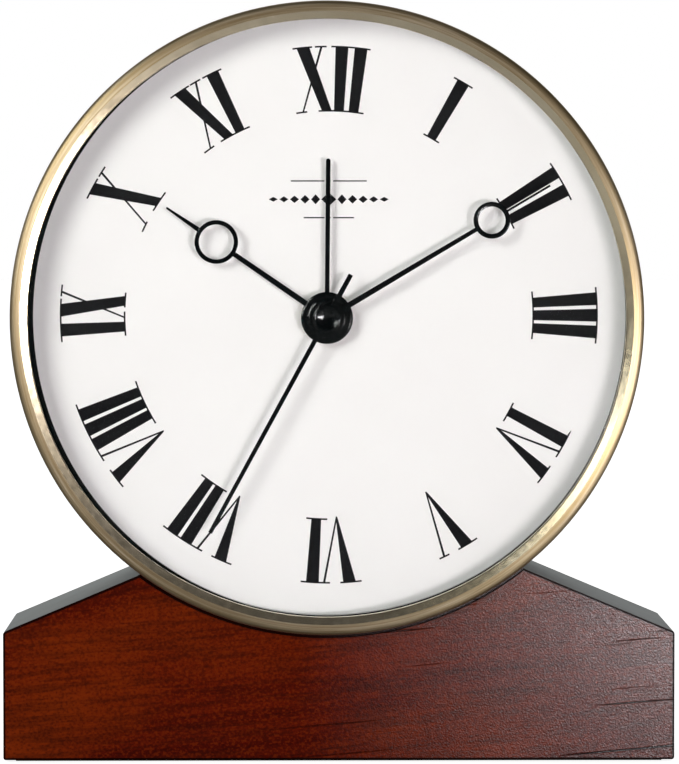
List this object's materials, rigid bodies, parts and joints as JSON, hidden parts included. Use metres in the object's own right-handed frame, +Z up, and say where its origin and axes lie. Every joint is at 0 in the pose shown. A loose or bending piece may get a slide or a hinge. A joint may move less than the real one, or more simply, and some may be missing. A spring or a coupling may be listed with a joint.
{
  "type": "mantel clock",
  "caption": "Round brass-rimmed analogue alarm clock with Roman numerals and open-ring hands, standing in a cradle in a sloped wooden base.",
  "frame": {"origin": "under the middle of the base, on the surface the clock stands on", "axes": "-Y is the way the dial faces, +X is to the viewer's right, +Z is up"},
  "size_m": [0.168, 0.054, 0.1899],
  "materials": {
    "wood": "satin mahogany lacquer",
    "felt": "dark felt",
    "steel": "plain steel",
    "drum_metal": "satin black paint",
    "brass": "antique brass brushed round the rim",
    "glass": "clear flat glass",
    "rubber": "black rubber",
    "black_paint": "gloss black paint",
    "dial_paint": "matt off-white paint",
    "black_plastic": "fine-textured black plastic",
    "gear_plastic": "white moulded plastic",
    "gear_brass": "turned brass",
    "cell_wrap": "printed wrap",
    "board": "solder mask",
    "copper": "enamelled copper wire",
    "magnet": "dark sintered metal"
  },
  "bodies": {
    "clock": {"base": "wood", "base_pad": "felt", "case_screw_left": "steel", "case_screw_right": "steel", "nut_plate": "steel", "case_drum": "drum_metal", "bezel": "brass", "lens": "glass", "lens_gasket": "rubber", "dial_ring": "black_paint", "dial": "dial_paint", "dial_washer": "steel", "dial_nut": "gear_brass", "rear_cover": "black_plastic", "cover_screw_1": "steel", "cover_screw_2": "steel", "cover_screw_3": "steel", "cover_screw_4": "steel", "movement_front": "black_plastic", "movement_rear": "black_plastic", "battery": "cell_wrap", "battery_contact": "steel", "battery_spring": "steel", "circuit_board": "board", "stator": "steel", "coil": "copper", "sounder": "black_plastic"},
    "rotor": {"rotor": "magnet"},
    "step_wheel": {"step_wheel": "gear_plastic"},
    "second_hand": {"seconds_wheel": "gear_plastic", "second_hand": "black_paint"},
    "third_wheel": {"third_wheel": "gear_plastic"},
    "centre_wheel": {"centre_wheel": "gear_plastic"},
    "minute_hand": {"minute_pinion": "gear_brass", "minute_hand": "black_paint"},
    "motion_wheel": {"motion_wheel": "gear_plastic"},
    "hour_hand": {"hour_wheel": "gear_plastic", "hour_hand": "black_paint"},
    "time_knob": {"time_knob": "black_plastic"},
    "alarm_knob": {"alarm_knob": "black_plastic"},
    "alarm_idler": {"alarm_idler": "gear_plastic"},
    "alarm_hand": {"alarm_wheel": "gear_plastic", "alarm_hand": "black_paint"},
    "alarm_switch": {"alarm_switch": "black_plastic"},
    "battery_door": {"battery_door": "black_plastic"}
  },
  "joints": [
    {"name": "rotor_spin", "type": "hinge", "parent": "clock", "child": "rotor", "pos_m": [-0.00299, 0, 0.1272], "axis": [0, 1, 0], "continuous": true},
    {"name": "step_wheel_spin", "type": "hinge", "parent": "clock", "child": "step_wheel", "pos_m": [-0.00659, 0, 0.12097], "axis": [0, 1, 0], "continuous": true},
    {"name": "second_hand_turn", "type": "hinge", "parent": "clock", "child": "second_hand", "pos_m": [-0.003, 0, 0.1111], "axis": [0, 1, 0], "continuous": true},
    {"name": "third_wheel_spin", "type": "hinge", "parent": "clock", "child": "third_wheel", "pos_m": [-0.01326, 0, 0.1111], "axis": [0, 1, 0], "continuous": true},
    {"name": "centre_wheel_spin", "type": "hinge", "parent": "clock", "child": "centre_wheel", "pos_m": [-0.003, 0, 0.1111], "axis": [0, 1, 0], "continuous": true},
    {"name": "minute_hand_turn", "type": "hinge", "parent": "clock", "child": "minute_hand", "pos_m": [-0.003, 0, 0.1111], "axis": [0, 1, 0], "continuous": true},
    {"name": "motion_wheel_spin", "type": "hinge", "parent": "clock", "child": "motion_wheel", "pos_m": [0.0078, 0, 0.1111], "axis": [0, 1, 0], "continuous": true},
    {"name": "hour_hand_turn", "type": "hinge", "parent": "clock", "child": "hour_hand", "pos_m": [-0.003, 0, 0.1111], "axis": [0, 1, 0], "continuous": true},
    {"name": "time_knob_turn", "type": "hinge", "parent": "clock", "child": "time_knob", "pos_m": [0.01561, 0, 0.12041], "axis": [0, 1, 0], "continuous": true},
    {"name": "alarm_knob_turn", "type": "hinge", "parent": "clock", "child": "alarm_knob", "pos_m": [0.01873, 0, 0.10528], "axis": [0, 1, 0], "continuous": true},
    {"name": "alarm_idler_spin", "type": "hinge", "parent": "clock", "child": "alarm_idler", "pos_m": [0.01052, 0, 0.10748], "axis": [0, 1, 0], "continuous": true},
    {"name": "alarm_hand_turn", "type": "hinge", "parent": "clock", "child": "alarm_hand", "pos_m": [-0.003, 0, 0.1111], "axis": [0, 1, 0], "continuous": true},
    {"name": "alarm_switch_slide", "type": "slide", "parent": "clock", "child": "alarm_switch", "axis": [1, 0, 0], "range_m": [0, 0.004]},
    {"name": "battery_door_lift", "type": "slide", "parent": "clock", "child": "battery_door", "axis": [0, 1, 0], "range_m": [0, 0.03]}
  ],
  "couplings": [
    {"joint": "step_wheel_spin", "follows": "rotor_spin", "ratio": -0.2},
    {"joint": "second_hand_turn", "follows": "rotor_spin", "ratio": 0.033333},
    {"joint": "third_wheel_spin", "follows": "rotor_spin", "ratio": -0.0041667},
    {"joint": "centre_wheel_spin", "follows": "rotor_spin", "ratio": 0.00055556},
    {"joint": "motion_wheel_spin", "follows": "minute_hand_turn", "ratio": -0.33333},
    {"joint": "hour_hand_turn", "follows": "minute_hand_turn", "ratio": 0.083333},
    {"joint": "time_knob_turn", "follows": "minute_hand_turn", "ratio": 0.66667},
    {"joint": "alarm_idler_spin", "follows": "alarm_knob_turn", "ratio": -0.7},
    {"joint": "alarm_hand_turn", "follows": "alarm_knob_turn", "ratio": 0.38889}
  ]
}
